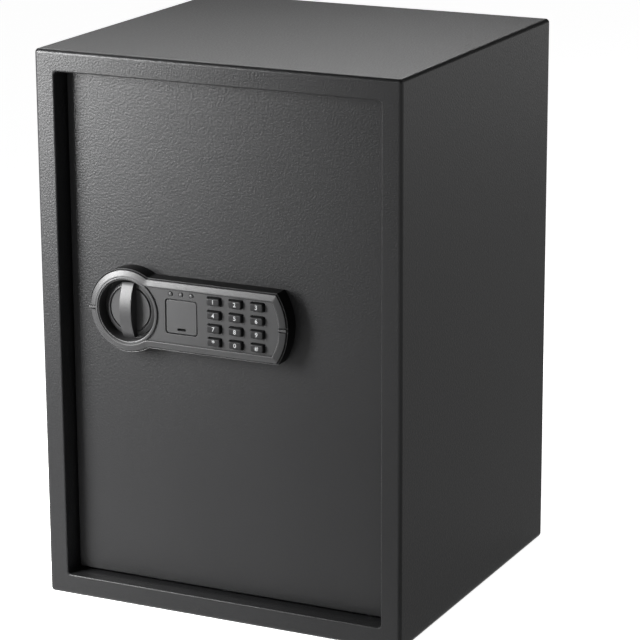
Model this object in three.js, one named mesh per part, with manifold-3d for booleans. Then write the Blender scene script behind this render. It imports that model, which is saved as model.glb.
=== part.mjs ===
// An upright electronic security safe: a folded steel cabinet, an inset door on concealed pins,
// and a bolt work behind the door driven by a knob, with a keypad, a solenoid and a key override.
// Millimetres. +X to the right as seen from the front, +Y to the back, +Z up.
// The origin is the centre of the cabinet's footprint, on the surface it stands on.
import * as THREE from "three";
import { mergeVertices } from "three/addons/utils/BufferGeometryUtils.js";
import Module from "manifold-3d";

const wasm = await Module();
wasm.setup();

// ---------------------------------------------------------------- driving dimensions

const GAP = 0.3; // clearance left between pieces that touch
const RUN = 0.4; // radial clearance of a turning or sliding piece
const SLIVER = 0.002; // edges shorter than this are artefacts of a cut

const WIDTH = 350;
const DEPTH = 328; // cabinet alone; the knob stands 2 mm proud of its front
const HEIGHT = 500;
const FRONT = -DEPTH / 2;
const BACK = DEPTH / 2;
const SHEET = 2; // cabinet steel
const BEND = 3; // outside radius of the folded edges
const FRAME = 19; // width of the front frame round the door
const LIP_DEPTH = 23; // how far the frame's lip runs back
const REAR_RIM = 14; // width of the folded rim round the back panel
const ANCHOR_RADIUS = 5;
const FLOOR_ANCHORS = [[-90, 40], [90, 40]]; // bolt holes in the floor, as [x, y]
const WALL_ANCHORS = [[-90, 350], [90, 350]]; // bolt holes in the back panel, as [x, z]

const OPEN_X = WIDTH / 2 - FRAME; // half width of the door opening
const OPEN_LOW = FRAME;
const OPEN_HIGH = HEIGHT - FRAME;
const LIP_END = FRONT + LIP_DEPTH;

const DOOR_THICK = 4;
const DOOR_FRONT = FRONT + 18; // the door is set 18 mm back
const DOOR_BACK = DOOR_FRONT + DOOR_THICK;
const DOOR_LEFT = -OPEN_X + 2.5;
const DOOR_RIGHT = OPEN_X - 3;
const DOOR_LOW = OPEN_LOW + 2.5;
const DOOR_HIGH = OPEN_HIGH - 2.5;

const HINGE = { x: 134, y: DOOR_BACK + 6, pin: 4 };

const MID = 274; // height of the keypad, the knob and the bolt work
const KNOB = { x: -89, dial: 25, grip: 12, length: 48.5, proud: 2, bow: 6 };
const THROW = 16; // travel of the locking bolts
const CRANK = THROW / 2 / Math.sin(Math.PI / 4); // crank radius for a quarter turn
const BOLT = { radius: 8, length: 58, tip: -153, y: LIP_END + 9, spread: 80 };

const HOUSING = { left: -148, right: 112, low: MID - 150, high: MID + 150, back: -98.4 };
const HOUSING_SHEET = 1.5;
const HOUSING_FLANGE = 10;
const COVER_SHEET = 1.2;
const COVER_FRONT = HOUSING.back + GAP;
const COVER_BACK = COVER_FRONT + COVER_SHEET;

const BEZEL = {
  ring: 37.8, // outer radius of the ring round the knob
  well: 27.7, // radius of the well the dial sits in
  wellDepth: 13.5,
  half: 31.8, // half the height of the bar
  tip: 67.5, // right-hand end of the bar
  tipRadius: 56,
  rim: 8, // width of the raised rim
  sunk: 1.6, // how far the panel lies behind the rim
  wall: 2,
};
const PANEL_FACE = FRONT + BEZEL.sunk;
const PANEL_BACK = PANEL_FACE + BEZEL.wall;
const LOCK = { x: -35, z: MID, radius: 11, plug: 6 };
const KEY_COVER = { size: 29.8, thick: 2, corner: 2.4 };
const KEY = { width: 12.8, height: 7.1, proud: 3.4, pitchX: 20.9, pitchZ: 12.1, x: -2.2 };
const INDICATOR = { radius: 2, pitch: 10.2, z: MID + 20.2 };
const CABLE = { x: 45, radius: 2 };

const TRAY = { x: 45, width: 60, height: 66, front: -117, wall: 1.5 };
const CELL = { radius: 7.25, length: 50.5, pitch: 15.3 };
const RESET = { x: 88, z: MID + 50, radius: 4 };
const PLUNGER = { x: -50, radius: 3, low: MID - 86, tip: MID - 43.5, collar: MID - 51 };
const SHELF = { z: 250, front: -84, back: 148, sheet: 1.2, fold: 14 };

// ---------------------------------------------------------------- materials

const paint = (color, roughness, metalness) =>
  new THREE.MeshStandardMaterial({ color, roughness, metalness });
const MATERIAL = {
  cabinet: paint(0x26272a, 0.45, 0.3),
  door: paint(0x2a2b2d, 0.5, 0.3),
  plastic: paint(0x38393b, 0.42, 0),
  rubber: paint(0x2b2b2d, 0.7, 0),
  lens: paint(0x6c7076, 0.2, 0),
  zinc: paint(0xb4b8bc, 0.35, 1),
  chrome: paint(0xd8dadd, 0.12, 1),
  brass: paint(0xc09a4a, 0.3, 1),
  coil: paint(0x9a5a2c, 0.5, 0.2),
  board: paint(0x1f5a38, 0.5, 0),
  cell: paint(0x2f5f93, 0.3, 0),
  felt: paint(0x3a3b40, 0.95, 0),
  red: paint(0xa3241f, 0.5, 0),
};

// ---------------------------------------------------------------- solids

// A closed three.js geometry as a solid that can be cut and joined. Triangles that shrink to
// nothing when coincident corners are merged are dropped.
function solid(geometry) {
  const bare = geometry.index ? geometry.toNonIndexed() : geometry.clone();
  bare.deleteAttribute("normal");
  bare.deleteAttribute("uv");
  const merged = mergeVertices(bare, 1e-4);
  const corners = merged.index.array;
  const kept = [];
  for (let i = 0; i < corners.length; i += 3) {
    const [a, b, c] = corners.slice(i, i + 3);
    if (a !== b && b !== c && c !== a) kept.push([a, b, c]);
  }
  const vertProperties = new Float32Array(merged.attributes.position.array);
  const build = (faces) => {
    const triVerts = new Uint32Array(faces.flat());
    return new wasm.Manifold(new wasm.Mesh({ numProp: 3, vertProperties, triVerts }));
  };
  const made = build(kept);
  return made.volume() > 0 ? made : build(kept.map(([a, b, c]) => [a, c, b]));
}

const join = (first, ...rest) => rest.reduce((all, one) => all.add(one), first);
const cut = (first, ...tools) => tools.reduce((left, tool) => left.subtract(tool), first);

function box(x0, x1, y0, y1, z0, z1) {
  const geometry = new THREE.BoxGeometry(x1 - x0, y1 - y0, z1 - z0);
  return solid(geometry.translate((x0 + x1) / 2, (y0 + y1) / 2, (z0 + z1) / 2));
}

// The corners of a shape's outline, without the repeats where its arcs and lines meet.
function clean(shape, curve) {
  const apart = (p, q) => p.distanceTo(q) > 1e-5;
  const points = shape.getPoints(curve).filter((p, i, all) => i === 0 || apart(p, all[i - 1]));
  if (!apart(points[0], points[points.length - 1])) points.pop();
  return new THREE.Shape(points);
}

// An outline extruded to a depth. A bevel rounds the edges of both faces.
function extruded(shape, depth, { bevel = 0, curve = 6, steps = 2 }) {
  return new THREE.ExtrudeGeometry(clean(shape, curve), {
    depth: depth - 2 * bevel,
    bevelEnabled: bevel > 0,
    bevelThickness: bevel,
    bevelSize: bevel,
    bevelOffset: -bevel,
    bevelSegments: steps,
  }).translate(0, 0, bevel);
}

// A shape drawn in X and Z, extruded from y0 back to y1.
function slab(shape, y0, y1, edges = {}) {
  return solid(extruded(shape, y1 - y0, edges).rotateX(Math.PI / 2).translate(0, y1, 0));
}

// A shape drawn in Y and Z, extruded from x0 to x1.
function sideSlab(shape, x0, x1, edges = {}) {
  const turn = new THREE.Matrix4().makeBasis(
    new THREE.Vector3(0, 1, 0),
    new THREE.Vector3(0, 0, 1),
    new THREE.Vector3(1, 0, 0),
  );
  return solid(extruded(shape, x1 - x0, edges).applyMatrix4(turn).translate(x0, 0, 0));
}

// A rod along Y or Z between two stations, centred on the other two coordinates.
function rodY(x, z, radius, y0, y1, sides = 24) {
  const geometry = new THREE.CylinderGeometry(radius, radius, y1 - y0, sides);
  return solid(geometry.translate(x, (y0 + y1) / 2, z));
}
function rodZ(x, y, radius, z0, z1, sides = 24) {
  const geometry = new THREE.CylinderGeometry(radius, radius, z1 - z0, sides);
  return solid(geometry.rotateX(Math.PI / 2).translate(x, y, (z0 + z1) / 2));
}

// A profile of [radius, station] pairs turned about an axis along Y through (x, z).
function turned(x, z, profile, sides = 32) {
  const points = profile.map(([radius, station]) => new THREE.Vector2(radius, station));
  return solid(new THREE.LatheGeometry(points, sides).translate(x, 0, z));
}

function roundedRect(x0, x1, z0, z1, r, path = new THREE.Shape()) {
  path.moveTo(x0 + r, z0);
  path.lineTo(x1 - r, z0);
  path.absarc(x1 - r, z0 + r, r, -Math.PI / 2, 0);
  path.lineTo(x1, z1 - r);
  path.absarc(x1 - r, z1 - r, r, 0, Math.PI / 2);
  path.lineTo(x0 + r, z1);
  path.absarc(x0 + r, z1 - r, r, Math.PI / 2, Math.PI);
  path.lineTo(x0, z0 + r);
  path.absarc(x0 + r, z0 + r, r, Math.PI, 1.5 * Math.PI);
  return path;
}

function polygon(points) {
  return new THREE.Shape(points.map(([x, z]) => new THREE.Vector2(x, z)));
}

const safe = new THREE.Group();

// Adds one sub-part to the safe as a named mesh. Slivers left by the cuts are simplified away.
function add(name, shape, material) {
  const raw = shape.simplify(SLIVER).getMesh();
  const vertices = new Float32Array(raw.numVert * 3);
  for (let i = 0; i < raw.numVert; i++) {
    vertices.set(raw.vertProperties.subarray(i * raw.numProp, i * raw.numProp + 3), i * 3);
  }
  const geometry = new THREE.BufferGeometry()
    .setAttribute("position", new THREE.BufferAttribute(vertices, 3))
    .setIndex(new THREE.BufferAttribute(raw.triVerts, 1));
  const mesh = new THREE.Mesh(geometry, material);
  mesh.name = name;
  safe.add(mesh);
}

// ---------------------------------------------------------------- cabinet

// One folded sheet: four walls, the front frame with its lip, and a rim round the back panel.
function bodyShell() {
  const half = WIDTH / 2;
  const outer = slab(roundedRect(-half, half, 0, HEIGHT, BEND), FRONT, BACK, {
    bevel: BEND - 0.2,
    curve: 3,
    steps: 3,
  });
  const inner = box(SHEET - half, half - SHEET, FRONT + SHEET, BACK - SHEET, SHEET, HEIGHT - SHEET);
  const opening = (grow) =>
    roundedRect(-OPEN_X - grow, OPEN_X + grow, OPEN_LOW - grow, OPEN_HIGH + grow, 3 + grow);
  const doorway = slab(opening(0), FRONT - 1, LIP_END + 1);
  const lip = slab(opening(SHEET), FRONT + SHEET / 2, LIP_END);
  const rim = half - REAR_RIM;
  const rear = slab(roundedRect(-rim, rim, REAR_RIM, HEIGHT - REAR_RIM, 4), BACK - 5, BACK + 1);
  const anchors = FLOOR_ANCHORS.map(([x, y]) => rodZ(x, y, ANCHOR_RADIUS, -1, SHEET + 1));
  return cut(join(cut(outer, inner), lip), doorway, rear, ...anchors);
}

function backPanel() {
  const half = WIDTH / 2 - SHEET - GAP;
  const y1 = BACK - SHEET - GAP;
  const plate = slab(
    roundedRect(-half, half, SHEET + GAP, HEIGHT - SHEET - GAP, 2),
    y1 - SHEET,
    y1,
  );
  return cut(plate, ...WALL_ANCHORS.map(([x, z]) => rodY(x, z, ANCHOR_RADIUS, y1 - 3, y1 + 1)));
}

// A drilled block inside the cabinet that one of the door's pins turns in.
function hingeSocket(z0, z1) {
  const block = box(HINGE.x - 14, HINGE.x + 14, LIP_END + GAP, LIP_END + 16, z0, z1);
  return cut(block, rodZ(HINGE.x, HINGE.y, HINGE.pin + RUN, z0 - 1, z1 + 1));
}

// An angle on a side wall that the shelf lies on. side is -1 for left and 1 for right.
function shelfRail(side) {
  const wall = WIDTH / 2 - SHEET - GAP;
  const top = SHELF.z - GAP;
  const angle = polygon([
    [side * wall, top],
    [side * (wall - 14), top],
    [side * (wall - 14), top - 1.5],
    [side * (wall - 1.5), top - 1.5],
    [side * (wall - 1.5), top - 20],
    [side * wall, top - 20],
  ]);
  return slab(angle, SHELF.front + 6, SHELF.back - 6);
}

// A sheet with its front and back edges folded down between the rails.
function shelf() {
  const { z, front, back, sheet, fold } = SHELF;
  const half = WIDTH / 2 - SHEET - 3;
  const folded = half - 17;
  return join(
    box(-half, half, front, back, z, z + sheet),
    box(-folded, folded, front, front + sheet, z - fold, z + sheet / 2),
    box(-folded, folded, back - sheet, back, z - fold, z + sheet / 2),
  );
}

// The mat, punched over the anchor holes so that their bolts can be put in.
function floorMat() {
  const low = SHEET + GAP;
  const punches = FLOOR_ANCHORS.map(([x, y]) => rodZ(x, y, ANCHOR_RADIUS + 2.5, low - 1, low + 4));
  return cut(box(-169, 169, -114, 156, low, low + 3), ...punches);
}

// ---------------------------------------------------------------- door

function doorPlate() {
  const outline = roundedRect(DOOR_LEFT, DOOR_RIGHT, DOOR_LOW, DOOR_HIGH, 3);
  const through = (x, z, radius) => rodY(x, z, radius, DOOR_FRONT - 1, DOOR_BACK + 1);
  return cut(
    slab(outline, DOOR_FRONT, DOOR_BACK, { bevel: 0.8, curve: 3 }),
    through(KNOB.x, MID, 7 + GAP),
    through(LOCK.x, LOCK.z, LOCK.radius + RUN),
    through(CABLE.x, MID, CABLE.radius + 3),
  );
}

// The four corner screws of the housing cover, as [x, z].
const SCREWS = [-1, 1].flatMap((sx) =>
  [-1, 1].map((sz) => {
    const inset = HOUSING_SHEET + HOUSING_FLANGE / 2;
    return [
      sx < 0 ? HOUSING.left + inset : HOUSING.right - inset,
      sz < 0 ? HOUSING.low + inset : HOUSING.high - inset,
    ];
  }),
);

// The ring of sheet steel behind the door, with guide holes for the bolts and a flange for the cover.
function boltHousing() {
  const { left, right, low, high, back } = HOUSING;
  const front = DOOR_BACK + GAP;
  const t = HOUSING_SHEET;
  const f = t + HOUSING_FLANGE;
  const guides = [-1, 1].map((side) => {
    const guide = new THREE.CylinderGeometry(BOLT.radius + RUN, BOLT.radius + RUN, 10, 32);
    return solid(guide.rotateZ(Math.PI / 2).translate(left, BOLT.y, MID + side * BOLT.spread));
  });
  return cut(
    slab(roundedRect(left, right, low, high, 2), front, back),
    box(left + t, right - t, front - 1, back - t, low + t, high - t),
    box(left + f, right - f, back - t - 1, back + 1, low + f, high - f),
    ...guides,
    ...SCREWS.map(([x, z]) => rodY(x, z, 2.3, back - 4, back + 1, 12)),
  );
}

function housingCover() {
  const { left, right, low, high } = HOUSING;
  const { x, width, height } = TRAY;
  const hatch = roundedRect(x - width / 2, x + width / 2, MID - height / 2, MID + height / 2, 2);
  return cut(
    slab(roundedRect(left, right, low, high, 3), COVER_FRONT, COVER_BACK),
    slab(hatch, COVER_FRONT - 1, COVER_BACK + 1),
    rodY(RESET.x, RESET.z, RESET.radius + RUN, COVER_FRONT - 1, COVER_BACK + 1),
    ...SCREWS.map(([sx, sz]) => rodY(sx, sz, 2.3, COVER_FRONT - 1, COVER_BACK + 1, 12)),
  );
}

// A pan-head screw through the cover into the housing's flange, with a cross cut in its head.
function coverScrew([x, z]) {
  const seat = COVER_BACK + GAP;
  const body = turned(
    x,
    z,
    [[0, seat - 8], [1.9, seat - 8], [1.9, seat], [4, seat], [4, seat + 1.2], [2.8, seat + 2.4], [0, seat + 2.4]],
    16,
  );
  const slot = (w, h) => box(x - w, x + w, seat + 1.2, seat + 3, z - h, z + h);
  return cut(body, slot(2.2, 0.4), slot(0.4, 2.2));
}

function hingeBracket(z0, z1) {
  const block = box(HINGE.x - 10, HINGE.x + 12, DOOR_BACK + GAP, HINGE.y + 7, z0, z1);
  return cut(block, rodZ(HINGE.x, HINGE.y, HINGE.pin + GAP, z0 - 1, z1 + 1));
}

// ---------------------------------------------------------------- bolt work

const CARRIAGE = { front: BOLT.y + BOLT.radius + 0.4, thick: 2, left: -118, right: -66 };
CARRIAGE.back = CARRIAGE.front + CARRIAGE.thick;
const GUIDE = { x: -100, spread: 45, shank: 3.9 };

// The plate that carries both bolts. The crank's pin works in its upright slot, it runs on two
// shoulder guides in its level slots, and the tooth under its arm is what the plunger stops.
function boltCarriage() {
  const { front, back, left, right } = CARRIAGE;
  const arm = MID - 34;
  const tooth = PLUNGER.x + PLUNGER.radius + 2;
  const plate = polygon([
    [left, MID - 94],
    [right, MID - 94],
    [right, arm],
    [tooth - 3, arm],
    [tooth, arm - 8],
    [tooth + 6, arm - 8],
    [tooth + 6, arm + 10],
    [right, arm + 10],
    [right, MID + 94],
    [left, MID + 94],
  ]);
  const pin = KNOB.x + THROW / 2;
  const slots = [
    roundedRect(pin - 3.1, pin + 3.1, MID + 2, MID + 18, 3),
    ...[-1, 1].map((side) => {
      const z = MID + side * GUIDE.spread;
      return roundedRect(GUIDE.x - 4.5, GUIDE.x + THROW + 4.5, z - 4.3, z + 4.3, 4.2);
    }),
  ];
  return cut(slab(plate, front, back), ...slots.map((slot) => slab(slot, front - 1, back + 1)));
}

function lockingBolt(z) {
  const { radius, length, tip, y } = BOLT;
  const points = [[0, 0], [radius - 1.2, 0], [radius, 1.2], [radius, length], [0, length]];
  const profile = points.map(([r, h]) => new THREE.Vector2(r, h));
  const rod = new THREE.LatheGeometry(profile, 32);
  return solid(rod.rotateZ(-Math.PI / 2).translate(tip, y, z));
}

// A shouldered guide: a standoff on the door, a shank in the carriage's slot, and a head.
function carriageGuide(z) {
  const { front, back } = CARRIAGE;
  const start = DOOR_BACK + GAP;
  return turned(GUIDE.x, z, [
    [0, start],
    [6, start],
    [6, front - 0.4],
    [GUIDE.shank, front - 0.4],
    [GUIDE.shank, back + 0.4],
    [7, back + 0.4],
    [7, back + 2.4],
    [6, back + 3.4],
    [0, back + 3.4],
  ]);
}

// The spindle that the knob turns, with its crank disc and the crank's pin.
function crankSpindle() {
  const disc = -130;
  const pin = { x: KNOB.x + THROW / 2, z: MID + THROW / 2 };
  return join(
    rodY(KNOB.x, MID, 5, FRONT + 4.5, disc + 1, 32),
    rodY(KNOB.x, MID, CRANK + 4.5, disc, disc + 3, 40),
    rodY(pin.x, pin.z, 2.5, disc + 2, CARRIAGE.back + 3, 20),
  );
}

function spindleBush() {
  const bore = 5 + RUN;
  return turned(KNOB.x, MID, [
    [bore, DOOR_FRONT - 0.2],
    [7, DOOR_FRONT - 0.2],
    [7, DOOR_BACK + 0.3],
    [9.5, DOOR_BACK + 0.3],
    [9.5, DOOR_BACK + 2.3],
    [bore, DOOR_BACK + 2.3],
    [bore, DOOR_FRONT - 0.2],
  ]);
}

// ---------------------------------------------------------------- solenoid

const PLUNGER_Y = (CARRIAGE.front + CARRIAGE.back) / 2;
const SOLENOID_TOP = MID - 60.3;

// The coil in its steel yoke, open at the top for the plunger.
function solenoidBody() {
  const { x, radius, low } = PLUNGER;
  const y = PLUNGER_Y;
  const bottom = low - 12;
  const yoke = cut(
    box(x - 13, x + 13, y - 11, y + 11, bottom, SOLENOID_TOP),
    box(x - 14, x + 14, y - 9.5, y + 12, bottom + 1.5, SOLENOID_TOP - 1.5),
  );
  const coil = rodZ(x, y + 0.5, 9.4, bottom + 1, SOLENOID_TOP - 1, 32);
  return cut(join(yoke, coil), rodZ(x, y, radius + RUN, low - 4, SOLENOID_TOP + 1));
}

function solenoidPlunger() {
  const { x, radius, low, tip, collar } = PLUNGER;
  return join(
    rodZ(x, PLUNGER_Y, radius, low, tip),
    rodZ(x, PLUNGER_Y, radius + 2.2, collar, collar + 1.5),
  );
}

// A round-wire compression spring round the plunger, between the yoke and the collar.
function plungerSpring() {
  const wire = 0.5;
  const turns = 4;
  const low = SOLENOID_TOP + wire + 0.1;
  const high = PLUNGER.collar - wire - 0.1;
  const coil = PLUNGER.radius + 1.3;
  class Helix extends THREE.Curve {
    getPoint(t) {
      const angle = 2 * Math.PI * turns * t;
      return new THREE.Vector3(
        PLUNGER.x + coil * Math.cos(angle),
        PLUNGER_Y + coil * Math.sin(angle),
        low + (high - low) * t,
      );
    }
  }
  const section = clean(new THREE.Shape().absarc(0, 0, wire, 0, 2 * Math.PI), 4);
  const swept = { extrudePath: new Helix(), steps: turns * 16 };
  return solid(new THREE.ExtrudeGeometry(section, swept));
}

// ---------------------------------------------------------------- key override

const LOCK_FACE = FRONT + 5.5;
const LOCK_END = -125;

function keyLockHousing() {
  const barrel = rodY(LOCK.x, LOCK.z, LOCK.radius, LOCK_FACE, LOCK_END, 36);
  return cut(barrel, rodY(LOCK.x, LOCK.z, LOCK.plug + RUN, LOCK_FACE - 1, LOCK_END + 1, 28));
}

// The plug that the override key turns, with its keyway and the stub that carries the lever.
function keyLockPlug() {
  const { x, z, plug } = LOCK;
  const barrel = join(
    rodY(x, z, plug, LOCK_FACE, LOCK_END, 28),
    rodY(x, z, 3.5, LOCK_END - 1, -118.5, 20),
  );
  const keyway = join(
    box(x - 0.9, x + 0.9, LOCK_FACE - 1, LOCK_FACE + 14, z - 4, z + 4),
    box(x - 1.8, x + 0.9, LOCK_FACE - 1, LOCK_FACE + 14, z - 1, z + 1),
  );
  return cut(barrel, keyway);
}

function overrideLever() {
  const { x, z } = LOCK;
  const y0 = -120.6;
  const y1 = y0 + 1.7;
  const outline = new THREE.Shape();
  outline.absarc(x, z, 6.5, Math.PI / 4, 1.75 * Math.PI);
  outline.absarc(x + 26, z, 3.5, -Math.PI / 2, Math.PI / 2);
  return cut(slab(outline, y0, y1), rodY(x, z, 3.5 + GAP, y0 - 1, y1 + 1, 20));
}

// ---------------------------------------------------------------- knob and keypad bezel

// The dial that lies in the bezel's well, with a bowed grip across it.
function knob() {
  const face = FRONT + 8;
  const { x, dial, grip, length, proud, bow } = KNOB;
  const disc = turned(
    x,
    MID,
    [
      [0, face],
      [18.8, face],
      [19, face + 0.8],
      [20.2, face + 0.8],
      [20.4, face],
      [dial - 1, face + 1.2],
      [dial, face + 2.2],
      [dial, face + 4.8],
      [0, face + 4.8],
    ],
    64,
  );
  const half = length / 2;
  const crest = FRONT - proud;
  const side = new THREE.Shape();
  side.moveTo(face + 2, MID - half);
  side.lineTo(face + 2, MID + half);
  side.lineTo(crest + bow, MID + half);
  side.quadraticCurveTo(crest - bow, MID, crest + bow, MID - half);
  const bar = sideSlab(side, x - grip / 2, x + grip / 2, { bevel: 1.1, curve: 10 });
  const trimmed = bar.intersect(rodY(x, MID, half, FRONT - 10, face + 3, 64));
  return cut(join(disc, trimmed), rodY(x, MID, 5 + GAP, FRONT + 4, face + 6, 32));
}

// The bezel's outline: a ring round the knob running into a bar with a bowed right-hand end.
// inset moves the whole outline inwards.
function bezelOutline(inset) {
  const ring = BEZEL.ring - inset;
  const half = BEZEL.half - inset;
  const end = BEZEL.tipRadius - inset;
  const endX = BEZEL.tip - BEZEL.tipRadius;
  const lean = Math.asin(half / end);
  const meet = Math.asin(half / ring);
  const outline = new THREE.Shape();
  outline.absarc(endX, MID, end, -lean, lean);
  outline.absarc(KNOB.x, MID, ring, meet, 2 * Math.PI - meet);
  return outline;
}

// The bar's sunk panel, to the right of a lip round the well.
function panelOutline(inset, lip) {
  const half = BEZEL.half - inset;
  const end = BEZEL.tipRadius - inset;
  const endX = BEZEL.tip - BEZEL.tipRadius;
  const lean = Math.asin(half / end);
  const meet = Math.asin(half / lip);
  const outline = new THREE.Shape();
  outline.absarc(endX, MID, end, -lean, lean);
  outline.absarc(KNOB.x, MID, lip, meet, -meet, true);
  return outline;
}

// The keys' names and centres, in four rows of three.
const KEY_NAMES = ["1", "2", "3", "4", "5", "6", "7", "8", "9", "star", "0", "hash"];
const KEYS = KEY_NAMES.map((name, i) => ({
  name: `key_${name}`,
  x: KEY.x + (i % 3) * KEY.pitchX,
  z: MID + (1.5 - Math.floor(i / 3)) * KEY.pitchZ,
}));
const INDICATORS = ["left", "middle", "right"].map((place, i) => ({
  name: `indicator_${place}`,
  x: LOCK.x + (i - 1) * INDICATOR.pitch,
}));

const square = (size, corner) =>
  roundedRect(
    LOCK.x - size / 2,
    LOCK.x + size / 2,
    LOCK.z - size / 2,
    LOCK.z + size / 2,
    corner,
  );
const keyRect = (key, grow, corner) =>
  roundedRect(
    key.x - KEY.width / 2 - grow,
    key.x + KEY.width / 2 + grow,
    key.z - KEY.height / 2 - grow,
    key.z + KEY.height / 2 + grow,
    corner,
  );

function keypadBezel() {
  const back = DOOR_FRONT - GAP;
  const lip = BEZEL.well + 2.6;
  const pocket = KEY_COVER.size + 1;
  const pocketFloor = LOCK_FACE + 2;
  const block = slab(bezelOutline(0), FRONT, back, { bevel: 1, curve: 20 });
  const hollow = slab(panelOutline(2.4, BEZEL.well + 2), PANEL_BACK, back + 1, { curve: 12 });
  const pocketWalls = slab(square(pocket + 4, 3), PANEL_BACK - 0.5, pocketFloor + 2);
  const ticks = [
    [KNOB.x - BEZEL.ring - 1, KNOB.x - BEZEL.well + 1],
    [BEZEL.tip - BEZEL.rim - 1, BEZEL.tip + 1],
  ];
  const ribs = [
    [KNOB.x - BEZEL.ring + 0.5, KNOB.x - BEZEL.well - 0.2],
    [BEZEL.tip - BEZEL.rim + 1.2, BEZEL.tip - 0.7],
  ];
  const shell = cut(
    join(cut(block, hollow), pocketWalls),
    rodY(KNOB.x, MID, BEZEL.well, FRONT - 1, FRONT + BEZEL.wellDepth, 64),
    slab(panelOutline(BEZEL.rim, lip), FRONT - 1, PANEL_FACE, { curve: 16 }),
    slab(square(pocket, KEY_COVER.corner + 0.4), FRONT - 1, pocketFloor),
    rodY(LOCK.x, LOCK.z, LOCK.radius + RUN, FRONT, back, 36),
    rodY(KNOB.x, MID, 5.6, FRONT, back + 1, 32),
    ...KEYS.map((key) => slab(keyRect(key, 0.7, 1.2), FRONT - 1, PANEL_BACK + 1, { curve: 2 })),
    ...INDICATORS.map(({ x }) => rodY(x, INDICATOR.z, INDICATOR.radius + 0.2, FRONT, back, 20)),
    ...INDICATORS.map(({ x }) => rodY(x, INDICATOR.z, INDICATOR.radius + 0.8, PANEL_BACK, back, 20)),
    ...ticks.map(([x0, x1]) => box(x0, x1, FRONT - 1, FRONT + 1, MID - 2.5, MID + 2.5)),
  );
  return join(
    shell,
    ...ribs.map(([x0, x1]) => box(x0, x1, FRONT - 0.3, FRONT + 1.5, MID - 1.1, MID + 1.1)),
  );
}

// The lid over the key lock, with a finger notch and two clips behind.
function keyCover() {
  const face = PANEL_FACE + 0.4;
  const back = face + KEY_COVER.thick;
  const half = KEY_COVER.size / 2;
  const notch = LOCK.z - half + 3.6;
  const clip = (z) => box(LOCK.x - 2, LOCK.x + 2, back - 0.5, back + 1.6, z - 0.7, z + 0.7);
  return cut(
    join(
      slab(square(KEY_COVER.size, KEY_COVER.corner), face, back, { bevel: 0.4 }),
      clip(LOCK.z + half - 1.6),
      clip(LOCK.z - half + 1.6),
    ),
    box(LOCK.x - 3.5, LOCK.x + 3.5, face - 1, face + 0.9, notch - 0.9, notch + 0.9),
  );
}

// A key with a flange that keeps it behind the panel.
function keypadKey(key) {
  const face = PANEL_FACE - KEY.proud;
  const flange = PANEL_BACK + GAP;
  return join(
    slab(keyRect(key, 0, 1), face, flange + 0.6, { bevel: 0.5, curve: 2 }),
    slab(keyRect(key, 1.5, 1), flange, flange + 1, { curve: 2 }),
  );
}

function indicator({ x }) {
  const { radius, z } = INDICATOR;
  return turned(
    x,
    z,
    [
      [0, PANEL_FACE - 0.9],
      [radius * 0.6, PANEL_FACE - 0.7],
      [radius * 0.9, PANEL_FACE - 0.3],
      [radius, PANEL_FACE + 0.2],
      [radius, PANEL_BACK + GAP],
      [radius + 0.5, PANEL_BACK + GAP],
      [radius + 0.5, PANEL_BACK + 1.2],
      [0, PANEL_BACK + 1.2],
    ],
    20,
  );
}

// The keypad's circuit board, with one domed contact behind each key.
function keypadBoard() {
  const front = PANEL_BACK + 4;
  const half = BEZEL.half - 4.5;
  const plate = box(KEY.x - 11, KEY.x + 2 * KEY.pitchX + 12, front, front + 1.6, MID - half, MID + half);
  return join(plate, ...KEYS.map(({ x, z }) => rodY(x, z, 3, front - 1, front + 0.5, 12)));
}

// ---------------------------------------------------------------- power and electronics

const BOARD_FRONT = -134;

function batteryTray() {
  const { x, width, height, front, wall } = TRAY;
  const w = width / 2 - GAP;
  const h = height / 2 - GAP;
  return cut(
    box(x - w, x + w, front, COVER_FRONT - GAP, MID - h, MID + h),
    box(x - w + wall, x + w - wall, front + wall, COVER_FRONT, MID - h + wall, MID + h - wall),
  );
}

// A round cell lying along X, its raised terminal to one side or the other.
function batteryCell(index) {
  const { radius, length, pitch } = CELL;
  const side = index % 2 ? 1 : -1;
  const profile = [[0, 0], [radius - 0.5, 0], [radius, 0.5], [radius, 48.8], [radius - 0.5, 49.3]];
  const points = [...profile, [2.7, 49.3], [2.7, length], [0, length]];
  const rod = new THREE.LatheGeometry(points.map(([r, h]) => new THREE.Vector2(r, h)), 24);
  const z = MID + (1.5 - index) * pitch;
  const y = TRAY.front + TRAY.wall + radius + GAP;
  return solid(rod.rotateZ((-side * Math.PI) / 2).translate(TRAY.x - (side * length) / 2, y, z));
}

// The sliding lid over the batteries, with grip ridges at its foot.
function batteryDoor() {
  const { x, width, height } = TRAY;
  const w = width / 2 + 4;
  const h = height / 2 + 4;
  const front = COVER_BACK + GAP;
  const back = front + 1.8;
  const ridges = [0, 1, 2, 3].map((i) => {
    const z = MID - h + 8 + 3 * i;
    return box(x - 11, x + 11, back - 0.5, back + 0.9, z - 0.7, z + 0.7);
  });
  return join(
    slab(roundedRect(x - w, x + w, MID - h, MID + h, 3), front, back, { bevel: 0.4 }),
    ...ridges,
  );
}

// The control board on two standoffs, with its chip, relay, buzzer and connectors.
function controlBoard() {
  const front = BOARD_FRONT;
  const back = front + 1.6;
  const low = MID - 34;
  const standoffs = [6, 84].map((x) => rodY(x, low + 6, 3, DOOR_BACK + GAP, front + 0.5, 16));
  return join(
    box(0, 90, front, back, low, MID + 34),
    ...standoffs,
    box(18, 34, back - 0.5, back + 2, MID + 6, MID + 18),
    box(60, 80, back - 0.5, back + 9, MID - 8, MID + 8),
    rodY(20, MID - 16, 7, back - 0.5, back + 7, 24),
    box(46, 58, back - 0.5, back + 6, low + 3, low + 9),
    box(CABLE.x - 5, CABLE.x + 5, front - 3, front + 0.5, MID - 8, MID + 2),
  );
}

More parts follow.
